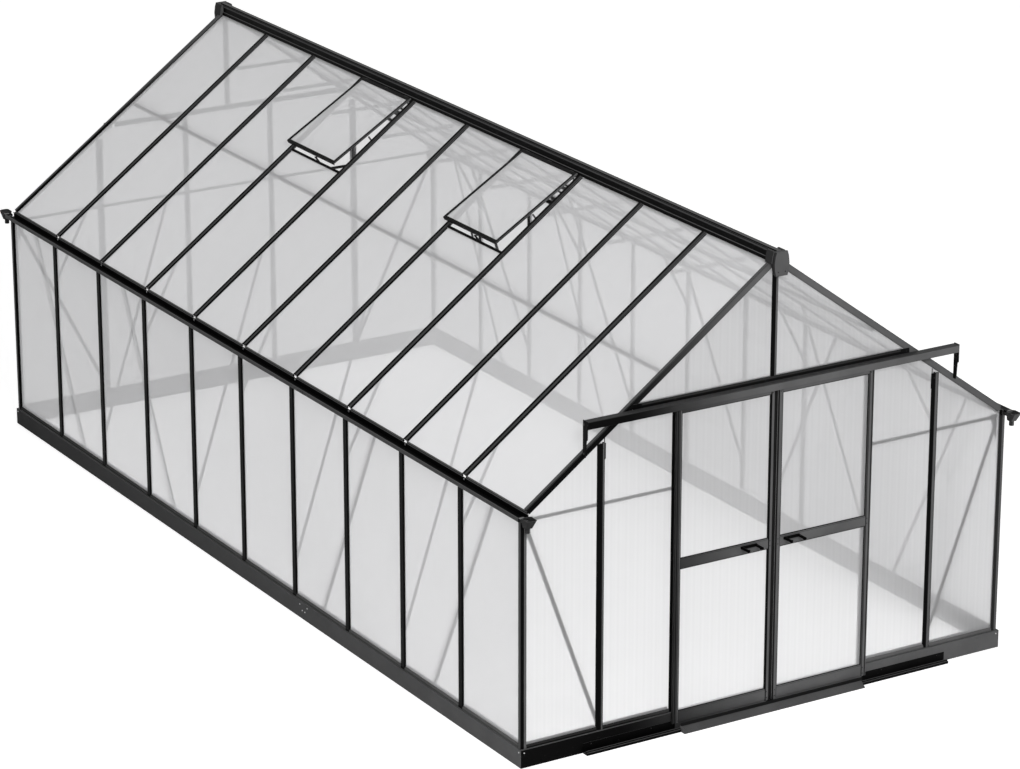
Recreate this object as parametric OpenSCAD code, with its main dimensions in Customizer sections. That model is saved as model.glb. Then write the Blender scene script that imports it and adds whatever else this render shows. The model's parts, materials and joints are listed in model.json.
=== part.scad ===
// Walk-in greenhouse: aluminium frame, twin-wall sheets, double sliding doors.
// X runs across the house, Y along it (doors at -Y), Z up. All sizes in mm.

/* [House] */
// Width over the wall posts
house_w = 3068; // [3000:4:3100]
// Number of bays along each side
bays = 10; // [8:1:11]
// Length of one bay
bay = 611; // [600:1:640]
// Height of the roof face at the wall line
eave_z = 1392; // [1385:1:1420]
// Height of the roof face at the ridge
ridge_z = 2510; // [2490:1:2530]

/* [Base] */
// Height of the steel base frame
base_h = 100; // [80:5:100]
// How far the base stands out past the walls
base_out = 13; // [10:1:15]
// Thickness of the base sheet
base_t = 2; // [1.5:0.5:3]

/* [Frame] */
// Width of posts and roof bars
bar_w = 38; // [34:1:40]
// Depth of the posts and bars, from the outside face
bar_d = 22; // [21:1:26]
// How far the sheets lie behind the outside face
sheet_in = 9; // [8:1:10]
// Thickness of the twin-wall sheets
sheet_t = 4; // [4:1:6]
// Width of the flat bracing bars
brace_w = 22; // [16:1:26]

/* [Doors] */
// Width of one sliding leaf
leaf_w = 621; // [600:1:625]
// Gap between the closed leaves
leaf_gap = 8; // [6:1:12]
// Width of a leaf's stiles
stile_w = 34; // [28:1:38]
// Thickness of a leaf
leaf_t = 16; // [14:1:16]
// Length of the rail and the track, from the middle to an end
rail_reach = 1170; // [1150:1:1200]

/* [Vents] */
// Length of a roof vent down the slope
vent_len = 606; // [560:2:640]
// Angle that a vent stands open
vent_open = 5; // [4:0.5:7]
// Bays that hold a vent, counted from the front
vent_bays = [3, 6];

/* [Hidden] */
$fn = 32;

frame_black = [0.13, 0.13, 0.13];
plastic_black = [0.07, 0.07, 0.07];
brace_grey = [0.3, 0.3, 0.3];
sheet_white = [0.86, 0.87, 0.88, 0.5];

fit = 0.5;                                  // room between seated pieces
half_w = house_w / 2;
gable_out = 10;                             // the gable frames stand out this far past the grid
house_l = bays * bay + 2 * gable_out;
rise = ridge_z - eave_z;
pitch = atan(rise / half_w);
web = 3;                                    // thickness of every bar's web
bevel = 2;                                  // cut along the edges of caps and faces
base_flange = 36;                           // width of the base's top and bottom flanges
sill_h = 20;
sheet_back = sheet_in + sheet_t;            // depth of the sheets' inner face
sheet_edge = web / 2 + fit;                 // sheets stop this far from a bar's middle
slot_front = sheet_in - fit;                // the slot that holds a sheet
slot_back = sheet_back + fit;

corner_out = 6.5;                           // corner posts stand proud of the side walls
corner_w = 37;
corner_d = 25;
corner_slot = 15;                           // where a corner post's side slot starts
corner_seat = corner_w - corner_out - 8;    // where the gable sheets start, from the wall line

gutter_in = half_w - 28;                    // inner wall of the gutter
gutter_w = 62;
gutter_h = 22;                              // height of the gutter's outer wall
gutter_back = 30;                           // height of its inner wall
gutter_z = eave_z - 24;
gutter_past = 17;                           // how far the gutters run past the gables
gutter_joint = gable_out + 3.79 * bay;      // where the two lengths of a gutter meet
wall_top = gutter_z - fit;
outlet_w = 60;                              // width of an outlet's funnel, across the house
outlet_l = 70;                              // and its length along the house
outlet_gap = 21.5;                          // between a gutter's end and the funnel's rim
outlet_y = gutter_past + outlet_gap;        // near edge of the rim
outlet_z = 1395;                            // rim of the funnel
outlet_h = 48;
outlet_t = 2;
outlet_foot = 40;                           // width and length of the funnel's lower end
sleeve_w = 46;                              // trough that joins the funnel to the gutter
sleeve_h = 14;
sleeve_gap = 3;                             // the trough stops this far from the gutter
tongue_w = 28;
spout_r = 14;
spout_h = 28;

ramp_reach = 91;
y_shift = -house_l / 2;                     // puts the middle of the house at y = 0

ridge_half = 24;                            // half width of the ridge beam's body
ridge_foot = 2460;                          // its lower face
ridge_lip = 31;                             // half width over the lips that cover the bars' ends
crest_z = 2551;
ridge_past = 20;                            // how far the beam runs past the gables
cap_reach = 50;                             // front face of a ridge cap
cap_back = 34;                              // how far its wings reach back over the rafters
bar_stop = (gutter_in - fit) / cos(pitch);
rafter_up = 6;                              // rafters stand this far above the roof face
rafter_h = 30;                              // and reach this far below it
rafter_w = 24;
rafter_drop = (rafter_h - 9) / cos(pitch);  // gable sheets end this far under the roof face

gable_x = half_w - 476;                     // outer gable posts
jamb_x = leaf_gap / 2 + leaf_w - bar_w / 2;
mullion_top = ridge_foot - 6;
header_z = 1862;                            // top of the header over the doors
header_h = 74;
girt_z = 1352;                              // middle of the bar across the gables
rear_sheet = (house_w - 14) / 5;            // width of one sheet of the rear wall
rear_header_z = 1887;
rear_header_h = 30;
corner_gusset = 70;                         // leg of the plates in the upper corners
post_plate = [28, 90];                      // plate at the top of an outer gable post

strut_w = 18;                               // bars between the wall posts and the roof bars
bar_under = bar_d + fit;                    // inner side of posts and roof bars
knee_z = 1146;                              // foot of a knee brace and its top end, in x
knee_x = 1310;
long_strut_z = 337;                         // the same for a long strut
long_strut_x = 1060;
tie_z = 2295;
purlin_at = 840;                            // down the slope from the ridge

vent_gap = 3;                               // between a vent and the roof bars beside it
vent_hinge = 44;                            // down the slope from the ridge
vent_w = bay - bar_w - 2 * vent_gap;
vent_edge = 12;                             // width and depth of a vent's frame bars
vent_seat = vent_len + 43;                  // upper edge of the sill under a vent

leaf_back = -base_out - 5;
leaf_front = leaf_back - leaf_t;
leaf_y = (leaf_front + leaf_back) / 2;
leaf_bottom = 44;
leaf_top = 1808;
foot_rail_h = 68;
head_rail_h = 32;
mid_rail_z = 916;
mid_rail_h = 57;
upper_z = [mid_rail_z + mid_rail_h, leaf_top - head_rail_h];
lower_z = [leaf_bottom + foot_rail_h, mid_rail_z];
leaf_slot = 8;                              // how far a leaf's sheets run into its frame
handle_w = 94;                              // between the outer sides of a handle's arms
handle_reach = 58;                          // from the bar to the ends of the arms
handle_z = 958;
handle_r = 6;

rail_z = 1795;
rail_h = 41;
rail_back = -1;
rail_front = -44;
drop_h = 155;                               // how far the plates at its ends reach below it
lip_z = leaf_top + 5;
slot_w = 14;
wheel_r = 7;
track_front = -57;

// Everything is drawn with the front gable's face at y = 0, then moved to the middle
module placed() { translate([0, y_shift, 0]) children(); }

// Extrude a profile of x and z along y
module along_y(from, to) {
    translate([0, to, 0]) rotate([90, 0, 0]) linear_extrude(to - from) children();
}

// Extrude a profile of y and z along x
module along_x(from, to) {
    translate([from, 0, 0]) rotate([90, 0, 90]) linear_extrude(to - from) children();
}

// Draw for the left side and copy to the right
module both_sides() {
    children();
    mirror([1, 0, 0]) children();
}

// Move what is drawn at the front gable to the rear
module at_rear() { translate([0, house_l, 0]) mirror([0, 1, 0]) children(); }

module both_ends() {
    children();
    at_rear() children();
}

// Left roof slope: x runs down from the ridge, z stands out of the roof face
module on_slope() { translate([0, 0, ridge_z]) mirror([1, 0, 0]) rotate([0, pitch, 0]) children(); }

// Cut the upper ends plumb beside the ridge beam
module clear_of_ridge() {
    side = ridge_half + fit;
    difference() {
        children();
        block([-side, -1, ridge_z - rise / 4], [side, house_l + 1, ridge_z + rafter_up + 1]);
    }
}

// Box between two corners
module block(low, high) { translate(low) cube(high - low); }

// Height of the roof face at a distance x from the middle
function roof_z(x) = ridge_z - abs(x) * rise / half_w;

// Place along the house of post and bar number i
function line_y(i) = gable_out + i * bay;

// Base frame

// C section with its face at x = 0 and its flanges pointing to +x
module base_section() {
    difference() {
        square([base_flange, base_h]);
        translate([base_t, base_t]) square([base_flange, base_h - 2 * base_t]);
    }
}

// One length of the base, drawn with its face at y = 0 and both ends mitred
module base_length(long) {
    intersection() {
        rotate([0, 0, -90]) mirror([1, 0, 0]) along_y(0, long) base_section();
        linear_extrude(base_h)
            polygon([[fit, 0], [long - fit, 0], [long - base_flange - fit, base_flange],
                [base_flange + fit, base_flange]]);
    }
}

module base_side() {
    translate([-half_w - base_out, house_l + base_out, 0]) rotate([0, 0, -90])
        base_length(house_l + 2 * base_out);
}

module base_end() { translate([-half_w - base_out, -base_out, 0]) base_length(house_w + 2 * base_out); }

module base_left() { color(frame_black) placed() base_side(); }
module base_right() { color(frame_black) placed() mirror([1, 0, 0]) base_side(); }
module base_front() { color(frame_black) placed() base_end(); }
module base_rear() { color(frame_black) placed() at_rear() base_end(); }

// Walls

// Inner part of every bar: web, flange behind the sheets and foot
module bar_back() {
    translate([-web / 2, slot_front - 1]) square([web, bar_d - slot_front + 1]);
    translate([-10, slot_back]) square([20, 2]);
    translate([-7, bar_d - 2]) square([14, 2]);
}

// Glazing bar: x across, y in from the outside face; flat cap with turned-in edges
module bar_section() {
    difference() {
        polygon([[-bar_w / 2, slot_front], [-bar_w / 2, bevel], [-bar_w / 2 + bevel, 0],
            [bar_w / 2 - bevel, 0], [bar_w / 2, bevel], [bar_w / 2, slot_front]]);
        for (side = [-1, 1]) translate([side * bar_w / 4, 6]) square([bar_w / 2 - 7, 6], center = true);
    }
    bar_back();
}

// Gable bar: its cap rises to a blunt ridge in the middle
module gable_section() {
    polygon([[-bar_w / 2, slot_front], [-bar_w / 2, 6], [-1, 0], [1, 0], [bar_w / 2, 6],
        [bar_w / 2, slot_front]]);
    bar_back();
}

// Sill: x in from the outside face, y up; drip slope, sheet slot and an inner upstand
module sill_section(upstand = 8) {
    polygon([[0, 1], [1, 0], [bar_d, 0], [bar_d, sill_h + upstand], [bar_d - 2, sill_h + upstand],
        [bar_d - 2, 3], [slot_back + 2, 3], [slot_back + 2, sill_h], [slot_back, sill_h], [slot_back, 5],
        [slot_front, 5], [slot_front, sill_h - 2], [slot_front - 1, sill_h - 1], [0, 8]]);
}

module side_sill(i) {
    from = i == 0 ? corner_d + fit : line_y(i) + bar_w / 2 + fit;
    to = i == bays - 1 ? house_l - corner_d - fit : line_y(i + 1) - bar_w / 2 - fit;
    translate([-half_w, 0, base_h]) along_y(from, to) sill_section();
}

module end_sill(from, to) { translate([0, 0, base_h]) along_x(from, to) sill_section(); }

module wall_sills() {
    corner = -half_w - corner_out + corner_w + fit;
    color(frame_black) placed() {
        both_sides() for (i = [0:bays - 1]) side_sill(i);
        both_sides() {
            end_sill(corner, -gable_x - bar_w / 2 - fit);
            end_sill(-gable_x + bar_w / 2 + fit, -jamb_x - bar_w / 2 - fit);
        }
        at_rear() {
            end_sill(-0.5 * rear_sheet + bar_w / 2 + fit, 0.5 * rear_sheet - bar_w / 2 - fit);
            both_sides() {
                end_sill(corner, -1.5 * rear_sheet - bar_w / 2 - fit);
                end_sill(-1.5 * rear_sheet + bar_w / 2 + fit, -0.5 * rear_sheet - bar_w / 2 - fit);
            }
        }
    }
}

module wall_posts_row() {
    for (i = [1:bays - 1])
        translate([-half_w, line_y(i), base_h]) rotate([0, 0, -90])
            linear_extrude(wall_top - base_h) bar_section();
}

module left_wall_posts() { color(frame_black) placed() wall_posts_row(); }
module right_wall_posts() { color(frame_black) placed() mirror([1, 0, 0]) wall_posts_row(); }

// Corner post: a ridged face to the gable, a flat one to the side, and a slot for each sheet
module corner_section() {
    w = corner_w;
    polygon([[0, 5], [2, 3], [w / 2 - 1, 0], [w / 2 + 1, 0], [w, 5], [w, slot_front],
        [w - 10, slot_front], [w - 10, slot_back], [w, slot_back],
        [w, slot_back + 3], [w - 12, slot_back + 3], [w - 12, corner_d],
        [corner_out + slot_back, corner_d], [corner_out + slot_back, corner_slot],
        [corner_out + slot_front, corner_slot], [corner_out + slot_front, corner_d], [0, corner_d]]);
}

module corner_posts() {
    color(frame_black) placed() both_ends() both_sides()
        translate([-half_w - corner_out, 0, base_h]) linear_extrude(wall_top - base_h) corner_section();
}

// Sheets

module wall_panels_row() {
    for (i = [0:bays - 1]) {
        from = i == 0 ? corner_slot + fit : line_y(i) + sheet_edge;
        to = i == bays - 1 ? house_l - corner_slot - fit : line_y(i + 1) - sheet_edge;
        block([-half_w + sheet_in, from, base_h + 6], [-half_w + sheet_back, to, wall_top]);
    }
}

module left_wall_panels() { color(sheet_white) placed() wall_panels_row(); }
module right_wall_panels() { color(sheet_white) placed() mirror([1, 0, 0]) wall_panels_row(); }

module roof_panels_row(vents) {
    for (i = [0:bays - 1]) {
        from = i == 0 ? rafter_w / 2 + fit : line_y(i) + sheet_edge;
        to = i == bays - 1 ? house_l - rafter_w / 2 - fit : line_y(i + 1) - sheet_edge;
        top = vents && len(search(i, vent_bays)) > 0 ? vent_seat + 7 : 0;
        clear_of_ridge() on_slope() block([top, from, -sheet_back], [bar_stop, to, -sheet_in]);
    }
}

module left_roof_panels() { color(sheet_white) placed() roof_panels_row(true); }
module right_roof_panels() { color(sheet_white) placed() mirror([1, 0, 0]) roof_panels_row(false); }

// Gable sheet from x1 to x2 on the left half, from z1 up to the rafter or z2
module gable_sheet(x1, x2, z1, z2) {
    foot = gutter_in - 2;
    translate([0, sheet_back, 0]) rotate([90, 0, 0]) linear_extrude(sheet_t) intersection() {
        translate([x1, z1]) square([x2 - x1, z2 - z1]);
        polygon([[-half_w, 0], [0, 0], [0, ridge_z - rafter_drop], [-foot, roof_z(foot) - rafter_drop],
            [-foot, wall_top - 1], [-half_w, wall_top - 1]]);
    }
}

module front_wall_panels() {
    color(sheet_white) placed() both_sides() {
        gable_sheet(-half_w + corner_seat, -gable_x - sheet_edge, base_h + 6, ridge_z);
        gable_sheet(-gable_x + sheet_edge, -jamb_x - sheet_edge, base_h + 6, header_z - header_h - fit);
        gable_sheet(-gable_x, -sheet_edge, header_z + 6 - sill_h, mullion_top);
    }
}

module rear_wall_panels() {
    under = rear_header_z - rear_header_h - fit;
    color(sheet_white) placed() at_rear() both_sides() {
        gable_sheet(-half_w + corner_seat, -1.5 * rear_sheet - sheet_edge, base_h + 6, ridge_z);
        gable_sheet(-1.5 * rear_sheet + sheet_edge, -0.5 * rear_sheet - sheet_edge, base_h + 6, under);
        gable_sheet(-0.5 * rear_sheet + sheet_edge, 0, base_h + 6, under);
        gable_sheet(-1.5 * rear_sheet, -sheet_edge, rear_header_z + 6 - sill_h, mullion_top);
    }
}

// Gables

module gable_post(x, from, to) {
    translate([x, 0, from]) linear_extrude(to - from) gable_section();
}

// Outer gable post with the plate that ties its top to the rafter
module outer_post(x) {
    top = roof_z(x + bar_w / 2) - rafter_h / cos(pitch) - 2;
    gable_post(-x, base_h, top);
    translate([0, slot_front - 1, 0]) rotate([90, 0, 0]) linear_extrude(2)
        polygon([[-x, top - post_plate.y], [-x + post_plate.x - 6, top - post_plate.y],
            [-x + post_plate.x, top - post_plate.y + 6], [-x + post_plate.x, top], [-x, top]]);
}

module front_gable_posts() {
    color(frame_black) placed() {
        both_sides() {
            outer_post(gable_x);
            gable_post(-jamb_x, base_h, header_z - header_h - fit);
        }
        gable_post(0, header_z + fit, mullion_top);
    }
}

module rear_gable_posts() {
    color(frame_black) placed() at_rear() {
        both_sides() {
            outer_post(1.5 * rear_sheet);
            gable_post(-0.5 * rear_sheet, base_h, rear_header_z - rear_header_h - fit);
        }
        gable_post(0, rear_header_z + fit, mullion_top);
    }
}

// Header across a gable, between the rafters or between two posts
module header(top, height) {
    reach = (ridge_z - top) * half_w / rise - rafter_h / sin(pitch) - 4;
    translate([0, 0, top - sill_h]) along_x(-reach, reach) {
        sill_section(0);
        translate([0, sill_h - height]) difference() {
            square([bar_d, height - sill_h + 1]);
            translate([-1, 8]) square([3, 3]);
            translate([8, -1]) square([bar_d - 16, height - sill_h - 4]);
        }
    }
}

module gable_headers() {
    color(frame_black) placed() {
        header(header_z, header_h);
        at_rear() header(rear_header_z, rear_header_h);
    }
}

// Rafter section: x in from the gable face, y up from the roof face. Cap with a joint line,
// side slot for the roof sheets, and a slot from below for the gable sheets.
module rafter_section() {
    polygon([[0, rafter_up - 1], [1, rafter_up], [rafter_w - 2, rafter_up], [rafter_w - 2, -slot_front],
        [rafter_w / 2, -slot_front], [rafter_w / 2, -slot_back], [rafter_w, -slot_back],
        [rafter_w, -slot_back - 2], [rafter_w - 6, -slot_back - 2], [rafter_w - 6, -rafter_h],
        [slot_back, -rafter_h], [slot_back, -rafter_h + 10], [slot_front, -rafter_h + 10],
        [slot_front, -rafter_h], [3, -rafter_h], [3, -rafter_h + 5], [0, -rafter_h + 5],
        [0, 1], [2.5, 1], [2.5, 3], [0, 3]]);
}

module gable_rafters() {
    color(frame_black) placed() both_ends() both_sides()
        clear_of_ridge() on_slope() along_x(0, bar_stop) rafter_section();
}

// Roof

module roof_bars_row() {
    for (i = [1:bays - 1])
        clear_of_ridge() on_slope() translate([0, line_y(i), 0])
            along_x(0, bar_stop) mirror([0, 1]) bar_section();
}

module left_roof_bars() { color(frame_black) placed() roof_bars_row(); }
module right_roof_bars() { color(frame_black) placed() mirror([1, 0, 0]) roof_bars_row(); }

// Ridge section: crest on a narrow neck, shoulders, and the box that the bars meet
module ridge_section() {
    half = [[ridge_half - 2, ridge_foot], [ridge_half, ridge_foot + 2], [ridge_half, crest_z - 17],
        [20, crest_z - 13], [15, crest_z - 13], [15, crest_z - 9], [10, crest_z - 9],
        [10, crest_z - 5], [13, crest_z - 4], [13, crest_z - 1], [12, crest_z]];
    polygon(concat(half, [for (i = [len(half) - 1:-1:0]) [-half[i].x, half[i].y]]));
}

// Lip along each side of the beam, just over the upper ends of bars and sheets
module ridge_lip_section() {
    inner = ridge_half - 1;
    low = roof_z(ridge_lip) + 1;
    high = roof_z(inner) + 11;
    polygon([[inner, roof_z(inner) + 1], [ridge_lip, low], [ridge_lip, low + 6],
        [ridge_half + 4, high - 3], [ridge_half, high], [inner, high]]);
}

module ridge_beam() {
    color(frame_black) placed() {
        along_y(-ridge_past, house_l + ridge_past) ridge_section();
        both_sides() along_y(cap_back + fit, house_l - cap_back - fit) ridge_lip_section();
    }
}

// End cap: bulged face plate, a waist behind it and a wing down each side of the ridge beam
module cap_outline() {
    polygon([[-38, 2419], [38, 2419], [46, 2450], [49, 2487], [44, 2525], [36, crest_z],
        [-36, crest_z], [-44, 2525], [-49, 2487], [-46, 2450]]);
}

module cap_wing() {
    inner = ridge_half + fit;
    polygon([[inner, roof_z(inner) + 9], [49, roof_z(49) + 9], [44, 2525], [36, crest_z - 2],
        [30, crest_z - 2], [inner, crest_z - 10]]);
}

module ridge_cap() {
    hull() {
        along_y(-cap_reach + 3, -cap_reach + 10) cap_outline();
        along_y(-cap_reach, -cap_reach + 1) offset(delta = -3) cap_outline();
    }
    along_y(-cap_reach + 9, -ridge_past - fit) offset(delta = -4) cap_outline();
    both_sides() along_y(-ridge_past - 6, cap_back) cap_wing();
}

module ridge_caps() { color(plastic_black) placed() both_ends() ridge_cap(); }

// Gutter: open channel, x out from its inner wall, with a lip along both edges
module gutter_section() {
    w = gutter_w;
    polygon([[0, 0], [w - 2, 0], [w, 2], [w, gutter_h], [w - 6, gutter_h], [w - 6, gutter_h - 2],
        [w - 2, gutter_h - 2], [w - 2, 3], [w - 3, 2], [2, 2], [2, gutter_back - 2], [7, gutter_back - 2],
        [7, gutter_back], [0, gutter_back]]);
}

module gutter_length(from, to) {
    translate([-gutter_in, 0, gutter_z]) along_y(from, to) mirror([1, 0]) gutter_section();
}

module gutters() {
    color(frame_black) placed() both_sides() {
        gutter_length(-gutter_past, gutter_joint - fit);
        gutter_length(gutter_joint + fit, house_l + gutter_past);
    }
}

// Funnel of an outlet, from its rim down; the side near the house stays upright
module funnel(w, l, h) {
    foot = outlet_foot - outlet_w + w;
    mirror([0, 0, 1]) linear_extrude(h, scale = [foot / w, foot / l], slices = 1)
        translate([0, -l / 2]) offset(12) square([w - 24, l - 24], center = true);
}

// Outlet: open funnel with a spout under it, and a trough whose tongue lies in the gutter's end
module outlet() {
    x = gutter_in + gutter_w / 2;
    wall = outlet_t;
    floor = gutter_z + 2 + fit - outlet_z;
    spout_y = -outlet_foot / 2;
    trough = sleeve_w / 2 - wall;
    translate([-x, -outlet_y, outlet_z]) difference() {
        union() {
            funnel(outlet_w, outlet_l, outlet_h);
            translate([0, spout_y, -outlet_h - spout_h]) cylinder(h = spout_h + 4, r = spout_r);
            block([-sleeve_w / 2, -outlet_l / 4, floor],
                [sleeve_w / 2, outlet_gap - sleeve_gap, floor + sleeve_h]);
            block([-tongue_w / 2, 0, floor], [tongue_w / 2, outlet_gap + 5, floor + wall]);
        }
        translate([0, -wall, 0.01]) funnel(outlet_w - 2 * wall, outlet_l - 2 * wall, outlet_h - wall);
        block([-trough, -outlet_l / 2, floor + wall], [trough, outlet_gap, floor + sleeve_h]);
        translate([0, spout_y, -outlet_h - spout_h - 1]) cylinder(h = spout_h + 8, r = spout_r - 3);
    }
}

module gutter_outlets() { color(plastic_black) placed() both_ends() both_sides() outlet(); }

module purlin() {
    on_slope() translate([purlin_at, 0, -bar_under]) along_y(40, house_l - 40)
        polygon([[0, 0], [22, 0], [22, -2], [2, -2], [2, -22], [0, -22]]);
}

module roof_purlins() { color(brace_grey) placed() both_sides() purlin(); }

// Bracing

// Flat bar between two points, drawn in x and y, with round ends
module flat_bar(a, b, width) {
    run = b - a;
    translate(a) rotate(atan2(run.y, run.x)) {
        for (end = [0, norm(run)]) translate([end, 0]) circle(width / 2);
        translate([0, -width / 2]) square([norm(run), width]);
    }
}

// Diagonals across every other post, leaning towards the nearer gable
module wall_braces() {
    top = gutter_z - brace_w / 2 - 4;
    color(brace_grey) placed() both_sides() for (i = [1:2:bays - 1]) {
        lean = i < bays / 2 ? 1 : -1;
        if (abs(i - bays / 2) >= 1)
            translate([-half_w + bar_under, line_y(i), 0]) rotate([90, 0, 90]) linear_extrude(3)
                flat_bar([-lean * bay / 2, top], [lean * bay / 2, base_h + 14], brace_w);
    }
}

// Space between the inner sides of the posts and the roof bars, in x and z
module clear_space() {
    x = half_w - bar_under;
    drop = bar_under / cos(pitch);
    polygon([[-x, 0], [0, 0], [0, ridge_z - drop], [-x, roof_z(x) - drop]]);
}

// Bar in the plane of a post and its roof bar
module strut(post_z, roof_x) {
    a = [-half_w + bar_under, post_z];
    b = [-roof_x, roof_z(roof_x) - bar_under / cos(pitch)];
    translate([0, 2, 0]) rotate([90, 0, 0]) linear_extrude(4) intersection() {
        flat_bar(a - (b - a) * 0.2, b + (b - a) * 0.2, strut_w);
        clear_space();
    }
}

// Knee braces and long struts by turns
module roof_struts() {
    color(brace_grey) placed() both_sides() for (i = [1:bays - 1]) translate([0, line_y(i), 0]) {
        if (i % 2 == 1) strut(knee_z, knee_x);
        else strut(long_strut_z, long_strut_x);
    }
}

module collar_ties() {
    half = (ridge_z - tie_z - brace_w / 2) * half_w / rise - bar_under / sin(pitch);
    color(brace_grey) placed() for (i = [1:bays - 1])
        block([-half, line_y(i) - 2, tie_z - brace_w / 2], [half, line_y(i) + 2, tie_z + brace_w / 2]);
}

// Diagonal, cross bar and corner plate on one side of a gable
module gable_bracing(foot_x, girt_x) {
    corner = -gutter_in + 5;
    block([corner, bar_under, girt_z - 9], [-girt_x, bar_under + 3, girt_z + 9]);
    translate([0, bar_under + 7, 0]) rotate([90, 0, 0]) linear_extrude(3) {
        flat_bar([corner + 14, girt_z - 60], [-foot_x + 6, base_h + 14], brace_w);
        polygon([[corner, girt_z + 14], [corner + corner_gusset * 0.7, girt_z + 14],
            [corner + corner_gusset * 0.3, girt_z - 70], [corner, girt_z - corner_gusset * 2]]);
    }
}

module gable_braces() {
    color(brace_grey) placed() {
        both_sides() gable_bracing(gable_x, jamb_x);
        at_rear() both_sides() gable_bracing(1.5 * rear_sheet, 0);
    }
}

// Roof vents

module on_vents() {
    for (i = vent_bays) on_slope() translate([vent_hinge, line_y(i) + bar_w / 2 + vent_gap, 2])
        rotate([0, -vent_open, 0]) children();
}

// Frame with mitre-square corners, a rounded hinge rail and a drip lip along its lower edge
module vent_frames() {
    color(frame_black) placed() on_vents() {
        difference() {
            cube([vent_len, vent_w, vent_edge]);
            translate([vent_edge, vent_edge, -1])
                cube([vent_len - 2 * vent_edge, vent_w - 2 * vent_edge, vent_edge + 2]);
            translate([5, 5, 4 - fit]) cube([vent_len - 10, vent_w - 10, sheet_t + 2 * fit]);
            translate([vent_len - 7, -1, vent_edge - 2]) cube([2, vent_w + 2, 3]);
        }
        translate([-1, 0, vent_edge / 2]) rotate([-90, 0, 0]) cylinder(h = vent_w, r = vent_edge / 2);
        translate([vent_len - 1, 0, -8]) cube([3, vent_w, vent_edge + 6]);
    }
}

module vent_panels() {
    color(sheet_white) placed() on_vents() translate([5 + fit, 5 + fit, 4])
        cube([vent_len - 10 - 2 * fit, vent_w - 10 - 2 * fit, sheet_t]);
}

// Sill under a vent: a narrow bar that covers the upper edge of the sheet below
module vent_sills() {
    color(frame_black) placed() for (i = vent_bays) on_slope()
        translate([vent_seat, 0, 0])
            along_y(line_y(i) + bar_w / 2 + fit, line_y(i + 1) - bar_w / 2 - fit)
                polygon([[0, -2], [3, 0], [14, -4], [14, -slot_front], [6, -slot_front], [6, -slot_back],
                    [14, -slot_back], [14, -slot_back - 3], [0, -slot_back - 3]]);
}

// Catch at the middle of the lower edge and a prop at the middle of the side
module vent_stays() {
    color(frame_black) placed() for (i = vent_bays) {
        on_slope() translate([vent_seat - 6, line_y(i + 0.45), 0]) {
            block([0, 0, -14], [5.5, 22, 22]);
            block([-26, 7, 14], [1, 15, 22]);
        }
        on_slope() translate([vent_hinge + vent_len * 0.55, line_y(i) + bar_w / 2 + fit, 0])
            block([0, 0, -18], [10, 2.5, 26]);
    }
}

// Door rail and track

// Rail section: y and z; fascia, top, back wall and two running lips
module rail_section() {
    slot = leaf_y - slot_w / 2;
    inside = rail_back - rail_front - 4;
    top = rail_z + rail_h;
    difference() {
        polygon([[rail_front, rail_z + 1], [rail_front + 1, rail_z], [rail_back, rail_z],
            [rail_back, top], [rail_front + 3, top], [rail_front, top - 3]]);
        translate([rail_front + 2, rail_z - 1]) square([inside, lip_z - rail_z + 1]);
        translate([rail_front + 2, lip_z + 3]) square([inside, top - lip_z - 5]);
        translate([slot, lip_z - 1]) square([slot_w, 5]);
    }
}

module door_rail() { color(frame_black) placed() along_x(-rail_reach, rail_reach) rail_section(); }

// Plate at each end of the rail, down to the rafter, with a stepped and tapered front edge
module rail_drops() {
    top = rail_z + rail_h + 4;
    foot = rail_z - drop_h;
    color(frame_black) placed() both_sides() along_x(-rail_reach - 4, -rail_reach - fit)
        polygon([[rail_back, top], [rail_front, top], [rail_front, rail_z - 54],
            [rail_front + 10, rail_z - 62], [rail_front + 16, foot + 6], [rail_front + 20, foot],
            [rail_back, foot]]);
}

// Track section: back web on the base, floor, step and front lip
module track_section() {
    back = -base_out;
    polygon([[back, 0], [back, 54], [back - 1.5, 54], [back - 1.5, 3], [track_front + 17, 3],
        [track_front + 17, 20], [track_front + 9, 20], [track_front + 9, 14], [track_front + 1, 14],
        [track_front, 13], [track_front, 0]]);
}

module door_track() { color(frame_black) placed() along_x(-rail_reach, rail_reach) track_section(); }

module threshold_ramp() {
    step = track_front + 9;
    reach = jamb_x - bar_w / 2 - 2;
    color(frame_black) placed() along_x(-reach, reach)
        polygon([[-ramp_reach, 0], [-ramp_reach, 1], [step - 2, 31], [step + 6, 31], [step + 6, 20 + fit],
            [step - fit, 20 + fit], [step - fit, 14 + fit], [track_front - fit, 14 + fit],
            [track_front - fit, 0]]);
}

// Leaves, drawn as the left leaf: x runs from the closing edge at 0 to -leaf_w

module on_left_leaf() { placed() translate([-leaf_gap / 2, 0, 0]) children(); }
module on_right_leaf() { placed() mirror([1, 0, 0]) translate([-leaf_gap / 2, 0, 0]) children(); }

module leaf_sheet(z, room) {
    block([-leaf_w + stile_w - leaf_slot - room, leaf_y - sheet_t / 2 - room, z[0] - leaf_slot - room],
        [-stile_w + leaf_slot + room, leaf_y + sheet_t / 2 + room, z[1] + leaf_slot + room]);
}

// Stile: x in from the leaf's edge, y back from its face; edge lip, groove, face and glazing bead
module stile_section() {
    polygon([[0, 1], [1, 0], [5, 0], [5, 7], [13, 7], [13, 1], [14, 0], [stile_w - 8, 0],
        [stile_w - 7, 2], [stile_w, 3], [stile_w, leaf_t], [0, leaf_t]]);
}

// Rail of a leaf: y back from its face and z up; flat face between two beads
module leaf_rail_section(h) {
    polygon([[3, 0], [2, 5], [0, 6], [0, h - 6], [2, h - 5], [3, h], [leaf_t, h], [leaf_t, 0]]);
}

module leaf_rail(z, h) {
    translate([0, leaf_front, z]) along_x(-leaf_w + stile_w - 1, -stile_w + 1) leaf_rail_section(h);
}

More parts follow.
